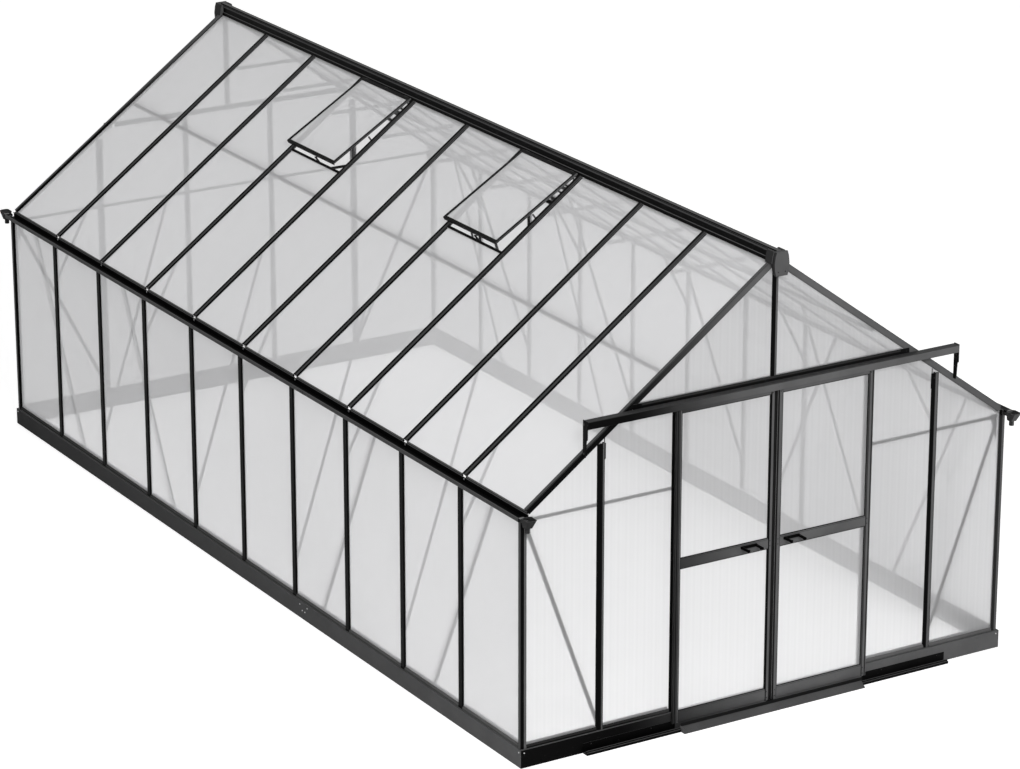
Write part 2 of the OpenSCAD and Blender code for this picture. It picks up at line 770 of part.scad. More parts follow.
module leaf_frame() {
    difference() {
        union() {
            for (side = [0, 1]) translate([-side * leaf_w, leaf_front, leaf_bottom]) mirror([1 - side, 0, 0])
                linear_extrude(leaf_top - leaf_bottom) stile_section();
            leaf_rail(leaf_bottom, foot_rail_h);
            leaf_rail(mid_rail_z, mid_rail_h);
            leaf_rail(leaf_top - head_rail_h, head_rail_h);
        }
        for (z = [upper_z, lower_z]) leaf_sheet(z, fit);
    }
    block([-leaf_w + 20, leaf_y - 2, 12], [-20, leaf_y + 2, leaf_bottom]);
}

module leaf_panels() { for (z = [upper_z, lower_z]) leaf_sheet(z, 0); }

// Pull handle on the middle rail: a round bar on the face with two arms that stand out from it
module leaf_handle(middle) {
    y = leaf_front - handle_r;
    half = handle_w / 2 - handle_r;
    translate([middle, y, handle_z]) {
        translate([-half, 0, 0]) rotate([0, 90, 0]) cylinder(h = 2 * half, r = handle_r);
        for (side = [-1, 1]) translate([side * half, 0, 0]) {
            sphere(handle_r);
            rotate([90, 0, 0]) cylinder(h = handle_reach, r = handle_r);
            translate([0, -handle_reach, 0]) cylinder(h = 10, r = handle_r + 3, center = true);
        }
        block([-half, 0, -4], [half, handle_r, 4]);
    }
}

// Two hangers with a pair of wheels each
module leaf_rollers() {
    for (x = [-90, -leaf_w + 90]) {
        z = lip_z + 3 + 0.4 + wheel_r;
        block([x - 20, leaf_y - 2, leaf_top], [x + 20, leaf_y + 2, z + 4]);
        for (wide = [[22, wheel_r - 1], [20, wheel_r]])
            translate([x, leaf_y + wide[0] / 2, z]) rotate([90, 0, 0]) cylinder(h = wide[0], r = wide[1]);
    }
}

module left_leaf_frame() { color(frame_black) on_left_leaf() leaf_frame(); }
module left_leaf_panels() { color(sheet_white) on_left_leaf() leaf_panels(); }
module left_leaf_handle() { color(plastic_black) on_left_leaf() leaf_handle(-160); }
module left_leaf_rollers() { color(plastic_black) on_left_leaf() leaf_rollers(); }
module right_leaf_frame() { color(frame_black) on_right_leaf() leaf_frame(); }
module right_leaf_panels() { color(sheet_white) on_right_leaf() leaf_panels(); }
module right_leaf_handle() { color(plastic_black) on_right_leaf() leaf_handle(-105); }
module right_leaf_rollers() { color(plastic_black) on_right_leaf() leaf_rollers(); }

base_left();
base_right();
base_front();
base_rear();
wall_sills();
corner_posts();
left_wall_posts();
right_wall_posts();
gutters();
gutter_outlets();
ridge_beam();
ridge_caps();
left_roof_bars();
right_roof_bars();
gable_rafters();
left_wall_panels();
right_wall_panels();
left_roof_panels();
right_roof_panels();
front_wall_panels();
rear_wall_panels();
front_gable_posts();
rear_gable_posts();
gable_headers();
gable_braces();
wall_braces();
roof_struts();
collar_ties();
roof_purlins();
vent_frames();
vent_panels();
vent_sills();
vent_stays();
door_rail();
rail_drops();
door_track();
threshold_ramp();
left_leaf_frame();
left_leaf_panels();
left_leaf_handle();
left_leaf_rollers();
right_leaf_frame();
right_leaf_panels();
right_leaf_handle();
right_leaf_rollers();
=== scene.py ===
import json
import math

import bmesh
import bpy
from mathutils import Matrix, Vector


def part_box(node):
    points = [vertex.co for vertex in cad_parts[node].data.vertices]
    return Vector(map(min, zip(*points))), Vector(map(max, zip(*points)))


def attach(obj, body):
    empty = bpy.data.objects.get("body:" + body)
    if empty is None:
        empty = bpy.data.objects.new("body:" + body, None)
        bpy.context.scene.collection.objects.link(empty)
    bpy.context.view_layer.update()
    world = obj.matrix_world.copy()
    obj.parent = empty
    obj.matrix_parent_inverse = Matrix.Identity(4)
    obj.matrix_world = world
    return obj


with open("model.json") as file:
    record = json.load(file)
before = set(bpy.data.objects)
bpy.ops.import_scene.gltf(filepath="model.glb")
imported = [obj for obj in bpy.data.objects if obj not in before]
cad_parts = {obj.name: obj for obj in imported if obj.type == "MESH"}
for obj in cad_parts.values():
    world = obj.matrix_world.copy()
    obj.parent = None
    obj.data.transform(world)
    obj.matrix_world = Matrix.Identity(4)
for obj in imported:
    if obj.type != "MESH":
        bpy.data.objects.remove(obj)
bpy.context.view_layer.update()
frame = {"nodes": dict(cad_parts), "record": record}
nodes = frame["nodes"]
print("frame loaded:", len(nodes), "parts")

camera = {
    "place": (-11.487, -19.2985, 8.7583),
    "azimuth": -31.3388,      # degrees, turned from the door side
    "elevation": 19.2978,     # degrees, looking down
    "lens": 142.74,
    "sensor": 36,
    "clipEnd": 200,
    "shift": 0.00049,         # in widths of the view
}


def addCamera():
    data = bpy.data.cameras.new("camera")
    data.lens = camera["lens"]
    data.sensor_width = camera["sensor"]
    data.clip_end = camera["clipEnd"]
    data.shift_x = -camera["shift"]
    data.shift_y = camera["shift"]
    ob = bpy.data.objects.new("camera", data)
    ob.location = camera["place"]
    ob.rotation_euler = (math.radians(90 - camera["elevation"]), 0, math.radians(camera["azimuth"]))
    bpy.context.collection.objects.link(ob)
    bpy.context.scene.camera = ob


addCamera()
print("camera set")

texture = {
    "roughness": 0.55,        # of every noise
    "cloudDetail": 3,
    "cloudSpan": (0.3, 0.7),  # where most of a cloud noise lies
    "grainDetail": 2,
    "scuffDetail": 6,
    "cool": 1.01,             # blue against red and green in every grey
}


def newMaterial(name):
    mat = bpy.data.materials.new(name)
    mat.use_nodes = True
    mat.node_tree.nodes.clear()
    return mat, mat.node_tree


def add(tree, kind, **values):
    node = tree.nodes.new(kind)
    for key, value in values.items():
        setattr(node, key, value)
    return node


def feed(tree, socket, value):        # sets a number, links anything else
    if isinstance(value, (int, float)):
        socket.default_value = value
    else:
        tree.links.new(value, socket)


def maths(tree, operation, first, second=0.0, third=None):
    node = add(tree, "ShaderNodeMath", operation=operation)
    feed(tree, node.inputs[0], first)
    feed(tree, node.inputs[1], second)
    if third is not None:
        feed(tree, node.inputs[2], third)
    return node.outputs[0]


def splitAxes(tree, vector):
    node = add(tree, "ShaderNodeSeparateXYZ")
    tree.links.new(vector, node.inputs[0])
    return node.outputs


def noise(tree, coords, scale, detail):
    node = add(tree, "ShaderNodeTexNoise")
    node.inputs["Scale"].default_value = scale
    node.inputs["Detail"].default_value = detail
    node.inputs["Roughness"].default_value = texture["roughness"]
    tree.links.new(coords, node.inputs["Vector"])
    return node.outputs["Fac"]


def mapRange(tree, source, low, high, toLow, toHigh, smooth=False):
    node = add(tree, "ShaderNodeMapRange")
    node.interpolation_type = "SMOOTHSTEP" if smooth else "LINEAR"
    for key, value in zip(("From Min", "From Max", "To Min", "To Max"), (low, high, toLow, toHigh)):
        node.inputs[key].default_value = value
    tree.links.new(source, node.inputs["Value"])
    return node.outputs[0]


def spreadCloud(tree, cloud, low, high):
    return mapRange(tree, cloud, *texture["cloudSpan"], low, high)


def grey(tree, level):                # a colour of one level, faintly cool
    node = add(tree, "ShaderNodeCombineColor")
    for socket, tint in zip(node.inputs, (1, 1, texture["cool"])):
        tree.links.new(maths(tree, "MULTIPLY", level, tint), socket)
    return node.outputs[0]


def plainGrey(level):
    return (level, level, level, 1)


def blendLevels(tree, share, first, second):
    node = add(tree, "ShaderNodeMix")
    for socket, value in zip(node.inputs[0:1] + node.inputs[2:4], (share, first, second)):
        feed(tree, socket, value)
    return node.outputs[0]


def blendShaders(tree, share, first, second):
    node = add(tree, "ShaderNodeMixShader")
    for socket, value in zip(node.inputs, (share, first, second)):
        tree.links.new(value, socket)
    return node.outputs[0]


def bump(tree, height, strength, distance):
    node = add(tree, "ShaderNodeBump")
    node.inputs["Strength"].default_value = strength
    node.inputs["Distance"].default_value = distance
    tree.links.new(height, node.inputs["Height"])
    return node.outputs[0]


coat = {
    "side": 0.006,            # plain level of the black
    "far": 1.0,               # share of the side level left at the rear end: painted shade, darker towards the rear
    "ends": (-3, 3),          # front and rear end, for that painted shade
    "outFrom": 0,             # distance from the middle beyond which the side level holds; nearer the middle, inside the gutter's channel, faces keep a painted shade of black
    "outFade": 0.001,
    "frontLeft": 0.003,       # painted reflection on faces towards the door side, dark at the left, lighter to the right
    "frontRight": 0.125,
    "frontSpan": (-0.95, 0.05),
    "frontTurn": 8,           # metres that a face turned to the right counts as further right in the painted reflection
    "facesFront": (-0.5, -0.8),     # part of the normal: from where it counts, and fully counts
    "top": 0.045,             # painted top light and dust on what faces up
    "topFrom": 0,             # height above which the painted top light and dust lie; below it a gutter's channel keeps its painted shade
    "topFade": 0.002,
    "facesUp": (0.5, 0.8),
    "worn": 0.05,             # level of rubbed spots
    "wornShare": 0.3,
    "scuffs": 30,
    "scuffSpan": (0.66, 0.74),
    "clouds": 5,
    "mottle": (0.88, 1.12),
    "rough": (0.38, 0.52),
    "grain": 900,             # orange peel, per metre
    "peel": 0.12,
    "peelDepth": 0.0004,
    "specular": 0.02,
    "posts": (),              # middles of the outer posts, with a painted shade of black on their left, and of the inner ones, painted black all over
    "lines": (),              # first middle and spacing of bars whose rear half keeps a painted shade of black
}
postShade = {
    "edge": (0.01, -0.003),   # where the painted shade ends, from a post's middle, at the left end of the gable and the right
    "soft": 0.0015,
    "least": 0.04,            # lowest level of the painted lit part
}
# painted shade on the roof bars: where along a bar the black begins, and its level
barShade = {
    "edge": (-0.004, 0.002),
    "black": 0.006,
}


def shadeLeft(tree, x, level, look):  # painted shade: the inner posts stay black all over, the outer ones on their left
    outer, inner = look["posts"]
    reach = maths(tree, "ABSOLUTE", x)
    isOuter = maths(tree, "GREATER_THAN", reach, (outer + inner) / 2)
    isInner = maths(tree, "SUBTRACT", maths(tree, "GREATER_THAN", reach, inner / 2), isOuter)
    middle = maths(tree, "MULTIPLY", maths(tree, "SIGN", x), maths(tree, "MULTIPLY", isOuter, outer))
    edge = mapRange(tree, x, -outer, outer, *postShade["edge"])
    past = maths(tree, "SUBTRACT", maths(tree, "SUBTRACT", x, middle), edge)
    lit = mapRange(tree, past, -postShade["soft"], postShade["soft"], 0, 1)
    lit = maths(tree, "MULTIPLY", lit, maths(tree, "SUBTRACT", 1, isInner))
    return blendLevels(tree, lit, look["frontLeft"], maths(tree, "MAXIMUM", level, postShade["least"]))


# painted shade: the rear half of each roof bar's top stays black, the rest keeps the top level
def shadeFar(tree, y, look):
    first, spacing = look["lines"]
    turn = maths(tree, "DIVIDE", maths(tree, "SUBTRACT", y, first), spacing)
    offset = maths(tree, "MULTIPLY", maths(tree, "SUBTRACT", turn, maths(tree, "ROUND", turn)), spacing)
    past = mapRange(tree, offset, *barShade["edge"], 0, 1)
    return blendLevels(tree, past, look["top"], barShade["black"])


def makeCoat(name, **changes):
    look = {**coat, **changes}
    mat, tree = newMaterial(name)
    link = tree.links.new
    out = add(tree, "ShaderNodeOutputMaterial")
    shader = add(tree, "ShaderNodeBsdfPrincipled")
    coords = add(tree, "ShaderNodeTexCoord").outputs["Object"]
    x, y, z = splitAxes(tree, coords)
    sideways, lengthways, upwards = splitAxes(tree, add(tree, "ShaderNodeNewGeometry").outputs["Normal"])
    cloud = noise(tree, coords, look["clouds"], texture["cloudDetail"])
    fine = noise(tree, coords, look["grain"], texture["grainDetail"])

    # painted shade: the side level darkens from the front end to the rear end
    side = mapRange(tree, y, *look["ends"], look["side"], look["side"] * look["far"])
    # painted shade: faces nearer the middle than outFrom, as in a gutter's channel, stay black
    if look["outFrom"]:
        reach = maths(tree, "ABSOLUTE", x)
        outside = mapRange(tree, reach, look["outFrom"] - look["outFade"], look["outFrom"], 0, 1)
        side = blendLevels(tree, outside, coat["frontLeft"], side)
    # painted reflection: faces towards the door side go from dark at the left to lighter at the right
    turned = maths(tree, "MULTIPLY_ADD", sideways, look["frontTurn"], x)
    across = mapRange(tree, turned, *look["frontSpan"], look["frontLeft"], look["frontRight"], True)
    front = mapRange(tree, lengthways, *look["facesFront"], 0, 1)
    # painted shade and light on the gable posts: black left parts, lit right parts
    if look["posts"]:
        across = shadeLeft(tree, x, across, look)
    level = blendLevels(tree, front, side, across)
    # painted top light and dust: faces turned up get the lighter top level
    up = mapRange(tree, upwards, *look["facesUp"], 0, 1)
    if look["topFrom"]:
        high = mapRange(tree, z, look["topFrom"] - look["topFade"], look["topFrom"], 0, 1)
        up = maths(tree, "MULTIPLY", up, high)
    top = shadeFar(tree, y, look) if look["lines"] else look["top"]
    level = blendLevels(tree, up, level, top)
    scuff = noise(tree, coords, look["scuffs"], texture["scuffDetail"])
    scuff = mapRange(tree, scuff, *look["scuffSpan"], 0, look["wornShare"])
    level = blendLevels(tree, scuff, level, look["worn"])
    level = maths(tree, "MULTIPLY", level, spreadCloud(tree, cloud, *look["mottle"]))

    link(grey(tree, level), shader.inputs["Base Color"])
    link(spreadCloud(tree, cloud, *look["rough"]), shader.inputs["Roughness"])
    shader.inputs["Specular IOR Level"].default_value = look["specular"]
    link(bump(tree, fine, look["peel"], look["peelDepth"]), shader.inputs["Normal"])
    link(shader.outputs[0], out.inputs[0])
    return mat


sheetLook = {
    "cloud": 0.015,           # slow changes in how milky it is
    "clouds": 2.2,
    "drift": 1.73,            # length of the flutes' second wave, in spacings
    "frost": 0.6,             # roughness of what is seen softly
    "frostIndex": 1.25,
    "gloss": 0.25,
    "glossIndex": 1.2,
    "flute": 0.15,
    "fluteDepth": 0.0004,
}
sideSheet = {
    "clear": 0.22,            # share seen straight through
    "blur": 0.0,              # share seen softly
    "tint": 0.97,             # light left after passing
    "milk": 0.9,              # level of the frosted body
    "rib": 0.011,             # spacing of the flutes
    "swell": 0.006,           # how much they show
    "across": 1,              # the axis they are counted along
}
frontSheet = {
    "clear": 0.22,
    "blur": 0.3,
    "tint": 0.82,
    "milk": 0.84,
    "rib": 0.0235,
    "swell": 0.03,
    "across": 0,
}


def makeSheet(name, kind):
    mat, tree = newMaterial(name)
    link = tree.links.new
    out = add(tree, "ShaderNodeOutputMaterial")
    coords = add(tree, "ShaderNodeTexCoord").outputs["Object"]
    along = splitAxes(tree, coords)[kind["across"]]
    rib = maths(tree, "SINE", maths(tree, "MULTIPLY", along, 2 * math.pi / kind["rib"]))
    slower = 2 * math.pi / kind["rib"] / sheetLook["drift"]
    drift = maths(tree, "SINE", maths(tree, "MULTIPLY", along, slower))
    uneven = maths(tree, "MULTIPLY", maths(tree, "ADD", rib, drift), kind["swell"] / 2)
    cloud = noise(tree, coords, sheetLook["clouds"], texture["cloudDetail"])
    cloud = spreadCloud(tree, cloud, -sheetLook["cloud"], sheetLook["cloud"])
    seen = maths(tree, "ADD", cloud, kind["clear"] + kind["blur"])

    clear = add(tree, "ShaderNodeBsdfTransparent")
    clear.inputs[0].default_value = plainGrey(kind["tint"])
    pale = add(tree, "ShaderNodeBsdfDiffuse")
    glow = add(tree, "ShaderNodeBsdfTranslucent")
    milk = grey(tree, maths(tree, "MULTIPLY", maths(tree, "ADD", uneven, 1), kind["milk"]))
    for node in (pale, glow):
        link(milk, node.inputs["Color"])
    body = add(tree, "ShaderNodeMixShader")           # half reflected, half let through
    link(pale.outputs[0], body.inputs[1])
    link(glow.outputs[0], body.inputs[2])
    through = clear.outputs[0]
    if kind["blur"]:
        frost = add(tree, "ShaderNodeBsdfRefraction")
        frost.inputs["Color"].default_value = plainGrey(kind["tint"])
        frost.inputs["Roughness"].default_value = sheetLook["frost"]
        frost.inputs["IOR"].default_value = sheetLook["frostIndex"]
        path = add(tree, "ShaderNodeLightPath")       # shadows take the clear way only
        straight = kind["clear"] / (kind["clear"] + kind["blur"])
        straight = maths(tree, "MAXIMUM", path.outputs["Is Shadow Ray"], straight)
        through = blendShaders(tree, straight, frost.outputs[0], through)
    mixed = blendShaders(tree, seen, body.outputs[0], through)
    gloss = add(tree, "ShaderNodeBsdfGlossy")
    gloss.inputs["Roughness"].default_value = sheetLook["gloss"]
    fresnel = add(tree, "ShaderNodeFresnel")
    fresnel.inputs[0].default_value = sheetLook["glossIndex"]
    skin = blendShaders(tree, fresnel.outputs[0], mixed, gloss.outputs[0])
    flute = bump(tree, rib, sheetLook["flute"], sheetLook["fluteDepth"])
    for node in (pale, glow, gloss):
        link(flute, node.inputs["Normal"])
    farSkin = add(tree, "ShaderNodeBsdfTransparent")  # the far skin adds nothing
    away = add(tree, "ShaderNodeNewGeometry").outputs["Backfacing"]
    link(blendShaders(tree, away, skin, farSkin.outputs[0]), out.inputs[0])
    return mat


simple = {
    "clouds": 40,
    "toneSpread": 0.15,
    "roughSpread": 0.05,
    "grain": 600,
    "grainStrength": 0.15,
    "grainDepth": 0.0003,
}


def makeSimple(name, level, rough, metallic=0.0, specular=0.3):
    mat, tree = newMaterial(name)
    link = tree.links.new
    out = add(tree, "ShaderNodeOutputMaterial")
    shader = add(tree, "ShaderNodeBsdfPrincipled")
    coords = add(tree, "ShaderNodeTexCoord").outputs["Object"]
    cloud = noise(tree, coords, simple["clouds"], texture["cloudDetail"])
    tone = spreadCloud(tree, cloud, level * (1 - simple["toneSpread"]), level * (1 + simple["toneSpread"]))
    link(grey(tree, tone), shader.inputs["Base Color"])
    dull = spreadCloud(tree, cloud, rough - simple["roughSpread"], rough + simple["roughSpread"])
    link(dull, shader.inputs["Roughness"])
    shader.inputs["Metallic"].default_value = metallic
    shader.inputs["Specular IOR Level"].default_value = specular
    fine = noise(tree, coords, simple["grain"], texture["grainDetail"])
    link(bump(tree, fine, simple["grainStrength"], simple["grainDepth"]), shader.inputs["Normal"])
    link(shader.outputs[0], out.inputs[0])
    return mat


# the powder coats below are lit and shaded copies of one black coat: the side, top and front levels set
# part by part are painted light and shade
barCoat = makeCoat("powderCoatBar")
# gable posts with painted shade on their left and painted light on their right
postCoat = makeCoat("powderCoatPost", posts=(1.058, 0.606))
trackCoat = makeCoat("powderCoatTrack", side=0.002, top=0.07, frontLeft=0.002, frontRight=0.006)
headerCoat = makeCoat("powderCoatHeader", top=0.1, frontRight=0.008)
rafterCoat = makeCoat("powderCoatRafter", top=0.1)
cornerCoat = makeCoat("powderCoatCorner", side=0.09)
# the gutter's channel, within outFrom and below topFrom, keeps a painted shade of black
gutterCoat = makeCoat("powderCoatGutter", side=0.075, top=0.09, topFrom=1.388, outFrom=1.566)
ridgeCoat = makeCoat("powderCoatRidge", side=0.002, top=0.1)
roofBarCoat = makeCoat("powderCoatRoofBar", top=0.06, lines=(-3.055, 0.611))
ventCoat = makeCoat("powderCoatVent", side=0.004, top=0.015)
baseCoat = makeCoat("powderCoatBase", side=0.115, far=0.14, top=0.09)
doorCoat = makeCoat("powderCoatDoor", side=0.02)
braceCoat = makeCoat("powderCoatBrace", side=0.02, frontLeft=0.01, frontRight=0.02)
# the struts seen through the side sheets: a lighter copy of the black coat, painted light against the
# shade behind the sheets
litStrutCoat = makeCoat("powderCoatStrut", side=0.09, top=0.1, frontLeft=0.08, frontRight=0.1)
plasticCoat = makeCoat("mouldedPlastic", side=0.035, top=0.1, frontLeft=0.03, frontRight=0.11,
                       rough=(0.5, 0.65))
gripCoat = makeCoat("mouldedGrip", side=0.001, top=0.003, frontLeft=0.001, frontRight=0.001, worn=0.01)
sideSheets = makeSheet("twinWallSide", sideSheet)
frontSheets = makeSheet("twinWallFront", frontSheet)
rubber = makeSimple("sealRubber", 0.004, 0.7, specular=0.1)
zinc = makeSimple("zincPlate", 0.6, 0.32, metallic=1.0)
blackScrew = makeSimple("blackScrew", 0.02, 0.45, specular=0.2)
bareEdge = makeSimple("bareEdge", 0.16, 0.4, specular=0.2)

finishOf = {
    "corner_posts": cornerCoat,
    "gutters": gutterCoat,
    "ridge_beam": ridgeCoat,
    "left_roof_bars": roofBarCoat,
    "right_roof_bars": roofBarCoat,
    "vent_frames": ventCoat,
    "vent_sills": ventCoat,
    "vent_stays": ventCoat,
    "gable_rafters": rafterCoat,
    "front_gable_posts": postCoat,
    "gable_headers": headerCoat,
    "wall_sills": baseCoat,
    "wall_braces": litStrutCoat,
    "roof_struts": litStrutCoat,
    "roof_purlins": litStrutCoat,
    "collar_ties": litStrutCoat,
    "door_track": trackCoat,
    "door_rail": doorCoat,
    "left_leaf_frame": doorCoat,
    "right_leaf_frame": doorCoat,
    "left_leaf_handle": gripCoat,
    "right_leaf_handle": gripCoat,
    "front_wall_panels": frontSheets,
    "rear_wall_panels": frontSheets,
    "left_leaf_panels": frontSheets,
    "right_leaf_panels": frontSheets,
}
slotFinish = {                        # for every node without its own
    "frame_aluminium": barCoat,
    "base_steel": baseCoat,
    "brace_bars": braceCoat,
    "black_plastic": plasticCoat,
    "twin_wall_sheet": sideSheets,
}
slotOf = {part["node"]: part["material_slot"] for part in frame["record"]["subparts"]}

for name, ob in nodes.items():
    ob.data.materials.clear()
    ob.data.materials.append(finishOf.get(name, slotFinish[slotOf[name]]))
print("finishes set")

house = {
    "bays": 10,
    "halfWidth": 1.534,       # to the outer faces of the wall posts
    "eave": 1.392,            # height of the roof face at the wall line
    "ridge": 2.510,           # and at the ridge
    "barWidth": 0.038,
    "sheetIn": 0.009,         # the sheets' outer face, in from the bars' faces
    "gableOut": 0.010,        # the gables' outer faces, beyond the first and last line
    "ventBays": (3, 6),
}
slope = (house["ridge"] - house["eave"]) / house["halfWidth"]
pitch = math.atan(slope)
halfBar = house["barWidth"] / 2
postsLow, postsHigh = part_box("left_wall_posts")
bayLength = (postsHigh.y - postsLow.y - house["barWidth"]) / (house["bays"] - 2)
sides = (-1, 1)
sideLetter = {-1: "L", 1: "R"}


def bayLine(i):                       # place along the house of post and bar number i
    return postsLow.y + halfBar + (i - 1) * bayLength


frontFace = bayLine(0) - house["gableOut"]
rearFace = bayLine(house["bays"]) + house["gableOut"]


def onRoof(side, down, y, out=0.0):   # a point on a slope, measured down from the ridge
    x = down * math.cos(pitch) + out * math.sin(pitch)
    return Vector((side * x, y, house["ridge"] - down * math.sin(pitch) + out * math.cos(pitch)))


def roofNormal(side):
    return Vector((side * math.sin(pitch), 0, math.cos(pitch)))


def facing(point, direction, turn=0.0):
    spin = Vector(direction).to_track_quat("Z", "Y").to_matrix().to_4x4()
    return Matrix.Translation(Vector(point)) @ spin @ Matrix.Rotation(turn, 4, "Z")


def spread(low, high, inset, count):  # evenly spaced places between two ends
    return [low + inset + (high - low - 2 * inset) * k / (count - 1) for k in range(count)]


def joinLoops(bm, loops, closed=False):
    count = len(loops[0])
    for low, high in zip(loops, loops[1:] + loops[:1] if closed else loops[1:]):
        for k in range(count):
            bm.faces.new((low[k], low[(k + 1) % count], high[(k + 1) % count], high[k]))
    if not closed:
        bm.faces.new(loops[0][::-1])
        bm.faces.new(loops[-1])


def lathe(bm, rings, count, place):   # rings of radius and height, from the base up
    turns = [2 * math.pi * k / count for k in range(count)]
    loops = []
    for radius, height in rings:
        spots = [Vector((radius * math.cos(a), radius * math.sin(a), height)) for a in turns]
        loops.append([bm.verts.new(place @ spot) for spot in spots])
    joinLoops(bm, loops)


def strip(bm, start, end, out, profile):
    # a profile of side and height pairs, swept from start to end
    start, end, out = Vector(start), Vector(end), Vector(out)
    side = (end - start).cross(out).normalized()
    loops = [[bm.verts.new(spot + side * s + out * h) for s, h in profile] for spot in (start, end)]
    joinLoops(bm, loops)


plate = {"chamfer": 0.0005, "cornerSteps": 4}


def slab(bm, outline, height, place):
    middle = Vector((sum(p[0] for p in outline), sum(p[1] for p in outline))) / len(outline)
    chamfer = plate["chamfer"]
    loops = []
    for level, inset in ((0, 0), (height - chamfer, 0), (height, chamfer)):
        loop = []
        for spot in outline:
            flat = Vector(spot)
            flat = flat + (middle - flat).normalized() * inset
            loop.append(bm.verts.new(place @ Vector((flat.x, flat.y, level))))
        loops.append(loop)
    joinLoops(bm, loops)


def roundPlate(wide, high, radius, steps=plate["cornerSteps"]):
    spots = []
    for k, (sx, sy) in enumerate(((1, 1), (-1, 1), (-1, -1), (1, -1))):
        for step in range(steps + 1):
            a = math.pi / 2 * (k + step / steps)
            spots.append((sx * (wide / 2 - radius) + radius * math.cos(a),
                          sy * (high / 2 - radius) + radius * math.sin(a)))
    return spots


def piece(name, bm, material, body="house"):
    bmesh.ops.recalc_face_normals(bm, faces=bm.faces)
    mesh = bpy.data.meshes.new(name)
    bm.to_mesh(mesh)
    bm.free()
    mesh.materials.append(material)
    ob = bpy.data.objects.new(name, mesh)
    bpy.context.collection.objects.link(ob)
    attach(ob, body)


bolt = {
    "washer": 0.0085,
    "washerHeight": 0.0012,
    "washerRings": ((1, -1), (1, 0.7), (0.93, 1)),    # shares of its radius and height
    "washerSides": 20,
    "head": 0.0055,
    "height": 0.0038,
    "headRings": ((1, 0.8), (0.84, 1), (0.5, 1)),     # above the washer
    "turn": 0.3,
    "scale": 0.8,
}


def hexBolt(bm, point, direction, scale=bolt["scale"]):
    place = facing(point, direction, bolt["turn"])
    w, t, r, h = [bolt[key] * scale for key in ("washer", "washerHeight", "head", "height")]
    lathe(bm, [(w * a, t * b) for a, b in bolt["washerRings"]], bolt["washerSides"], place)
    lathe(bm, [(r, 0)] + [(r * a, t + h * b) for a, b in bolt["headRings"]], 6, place)


screw = {
    "radius": 0.0042,
    "height": 0.0022,
    "rings": ((1, -1), (1, 0.25), (0.88, 0.7), (0.6, 1), (0.42, 1), (0.36, 0.35)),
    "sides": 14,
    "sunk": 0.0002,
}


def panScrew(bm, point, direction, scale=0.9):
    r, h = screw["radius"] * scale, screw["height"] * scale
    lathe(bm, [(r * a, h * b) for a, b in screw["rings"]], screw["sides"], facing(point, direction))


seal = {
    "wide": 0.0045,
    "high": 0.0035,
    "root": 0.0005,           # how deep it sits in the sheet
    "sillTop": 0.021,         # above the wall sills' lower edge
    "postEnd": 0.002,         # below the posts' upper ends
    "cornerHalf": 0.0185,     # half widths of the bars at the gables
    "rafterHalf": 0.0165,
    "roofStart": 0.042,       # down the slope, below the ridge
    "ventStart": 0.668,       # and below a vent
    "roofEnd": 1.862,         # at the gutter
    "rafterDrop": 0.040,      # below the rafters' faces, on the gables
}
sealProfile = [
    (-seal["wide"] / 2, -seal["root"]),
    (-seal["wide"] / 2, seal["high"] * 0.6),
    (-seal["wide"] / 4, seal["high"]),
    (seal["wide"] / 4, seal["high"] * 0.85),
    (seal["wide"] / 2, seal["root"]),
    (seal["wide"] / 2, -seal["root"]),
]
sealAside = halfBar + seal["wide"] / 2
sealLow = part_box("wall_sills")[0].z + seal["sillTop"]


def addWallSeals():
    face = house["halfWidth"] - house["sheetIn"]
    high = postsHigh.z - seal["postEnd"]
    cornerAside = seal["cornerHalf"] + seal["wide"] / 2
    for side in sides:
        bm = bmesh.new()
        lines = [bayLine(0) + cornerAside, bayLine(house["bays"]) - cornerAside]
        for i in range(1, house["bays"]):
            lines += [bayLine(i) - sealAside, bayLine(i) + sealAside]
        for y in lines:
            strip(bm, (side * face, y, sealLow), (side * face, y, high), (side, 0, 0), sealProfile)
        piece("wallSeals" + sideLetter[side], bm, rubber)


def addRoofSeals():
    for side in sides:
        bm = bmesh.new()
        for i in range(house["bays"]):
            start = seal["ventStart"] if side < 0 and i in house["ventBays"] else seal["roofStart"]
            first = bayLine(i) + (sealAside if i else seal["rafterHalf"])
            last = bayLine(i + 1) - (sealAside if i < house["bays"] - 1 else seal["rafterHalf"])
            for y in (first, last):
                ends = [onRoof(side, down, y, -house["sheetIn"]) for down in (start, seal["roofEnd"])]
                strip(bm, *ends, roofNormal(side), sealProfile)
        piece("roofSeals" + sideLetter[side], bm, rubber)


def addGableSeals():
    for label, node, face, out in (("Front", "front_gable_posts", frontFace, -1),
                                   ("Rear", "rear_gable_posts", rearFace, 1)):
        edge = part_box(node)[1].x - halfBar
        y = face - out * house["sheetIn"]
        bm = bmesh.new()
        for side in sides:
            for x in (edge - sealAside, edge + sealAside):
                top = house["ridge"] - x * slope - seal["rafterDrop"]
                strip(bm, (side * x, y, sealLow), (side * x, y, top), (0, out, 0), sealProfile)
        piece("gableSeals" + label, bm, rubber)


addWallSeals()
addRoofSeals()
addGableSeals()
print("sheet seals made")

gutterFit = {
    "innerFace": 1.508,
    "boltHeight": 1.3865,
    "boltAside": 0.006,       # before each bar's middle
    "jointLine": 3.79,        # place of the joint, in bays
    "jointUp": 0.0115,        # its middle, above the gutter's lower edge
    "plateHigh": 0.018,
    "plateLong": 0.15,
    "plateCorner": 0.003,
    "plateThick": 0.0014,
    "screwOut": 0.0012,
    "screws": (-0.055, -0.02, 0.02, 0.055),
}


